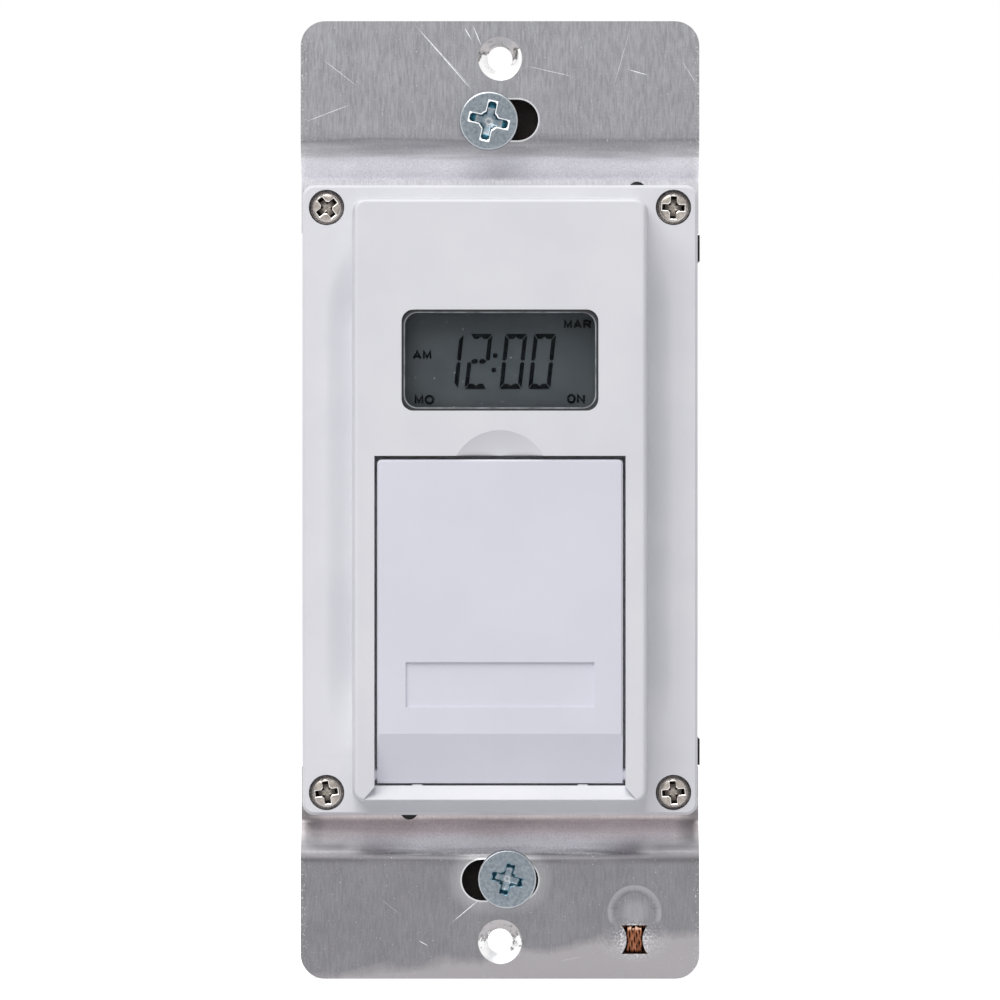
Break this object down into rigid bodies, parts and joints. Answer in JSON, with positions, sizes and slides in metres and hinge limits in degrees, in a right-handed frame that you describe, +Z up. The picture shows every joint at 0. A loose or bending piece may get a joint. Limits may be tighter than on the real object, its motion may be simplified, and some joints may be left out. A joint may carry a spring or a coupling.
{
  "type": "in-wall astronomic timer",
  "caption": "In-wall electronic timer switch on a joggled metal strap, with a white bezel, a display window and a hinged door over its keys and battery tray.",
  "frame": {"origin": "midway between the two wall plate holes, in the plane of the back face of the strap's ears", "axes": "+Z up along the strap, -Y out of the wall towards the viewer, +X to the viewer's right"},
  "size_m": [0.0438, 0.0484, 0.105],
  "materials": {
    "strap_aluminium": "brushed along the strap, lightly scratched",
    "white_plastic": "satin white moulding",
    "door_plastic": "satin cool white moulding",
    "clear_lens": "clear moulded lens",
    "display_glass": "liquid crystal glass, grey-green",
    "elastomer": "matt",
    "circuit_board": "green solder mask on glass fibre board",
    "black_package": "black moulded package",
    "steel_can": "plated can",
    "key_plastic": "grey key",
    "battery_jacket": "printed jacket on a steel can, bare of words",
    "contact_brass": "sprung sheet",
    "black_housing": "black moulding, fine spark texture",
    "relay_case": "blue relay case",
    "capacitor_case": "dipped or boxed capacitor",
    "can_sleeve": "sleeved aluminium can",
    "varistor_coat": "dipped coating",
    "fuse_coat": "ceramic coated resistor",
    "nickel_screw": "nickel plated",
    "zinc_screw": "zinc plated",
    "fibre_washer": "dark vulcanised fibre",
    "bare_copper": "bare stranded copper",
    "green_insulation": "green flexible insulation"
  },
  "bodies": {
    "timer_body": {"mounting_strap": "strap_aluminium", "front_housing": "white_plastic", "display_window": "clear_lens", "lcd_panel": "display_glass", "lcd_connector_upper": "elastomer", "lcd_connector_lower": "elastomer", "control_board": "circuit_board", "microcontroller": "black_package", "clock_crystal": "steel_can", "battery_tray": "white_plastic", "battery_cell": "battery_jacket", "battery_contact_upper": "contact_brass", "battery_contact_lower": "contact_brass", "rear_housing": "black_housing", "power_board": "circuit_board", "rectifier": "black_package", "varistor": "varistor_coat", "fuse_resistor": "fuse_coat", "relay": "relay_case", "film_capacitor": "capacitor_case", "supply_capacitor_1": "can_sleeve", "supply_capacitor_2": "can_sleeve", "board_header": "black_package", "case_screws": "nickel_screw", "ground_conductor": "bare_copper", "ground_lead": "green_insulation", "ground_lead_end": "bare_copper", "on_off_switch": "black_package", "mode_switch": "black_package", "plus_switch": "black_package", "minus_switch": "black_package"},
    "access_door": {"access_door": "door_plastic"},
    "on_off_key": {"on_off_button": "key_plastic", "on_off_plunger": "black_package"},
    "mode_key": {"mode_button": "key_plastic", "mode_plunger": "black_package"},
    "plus_key": {"plus_button": "key_plastic", "plus_plunger": "black_package"},
    "minus_key": {"minus_button": "key_plastic", "minus_plunger": "black_package"},
    "top_screw": {"top_mounting_screw": "zinc_screw", "top_screw_retainer": "fibre_washer"},
    "bottom_screw": {"bottom_mounting_screw": "zinc_screw", "bottom_screw_retainer": "fibre_washer"}
  },
  "joints": [
    {"name": "door_hinge", "type": "hinge", "parent": "timer_body", "child": "access_door", "pos_m": [0, -0.0052, -0.0299], "axis": [1, 0, 0], "range_deg": [-1, 98]},
    {"name": "on_off_press", "type": "slide", "parent": "timer_body", "child": "on_off_key", "axis": [0, 1, 0], "range_m": [0, 0.0004], "stiffness_N_per_m": 800, "springref_m": -0.0005},
    {"name": "mode_press", "type": "slide", "parent": "timer_body", "child": "mode_key", "axis": [0, 1, 0], "range_m": [0, 0.0004], "stiffness_N_per_m": 800, "springref_m": -0.0005},
    {"name": "plus_press", "type": "slide", "parent": "timer_body", "child": "plus_key", "axis": [0, 1, 0], "range_m": [0, 0.0004], "stiffness_N_per_m": 800, "springref_m": -0.0005},
    {"name": "minus_press", "type": "slide", "parent": "timer_body", "child": "minus_key", "axis": [0, 1, 0], "range_m": [0, 0.0004], "stiffness_N_per_m": 800, "springref_m": -0.0005},
    {"name": "top_screw_slide", "type": "slide", "parent": "timer_body", "child": "top_screw", "axis": [1, 0, 0], "range_m": [-0.0011, 0.0035]},
    {"name": "bottom_screw_slide", "type": "slide", "parent": "timer_body", "child": "bottom_screw", "axis": [1, 0, 0], "range_m": [-0.0031, 0.0015]}
  ]
}
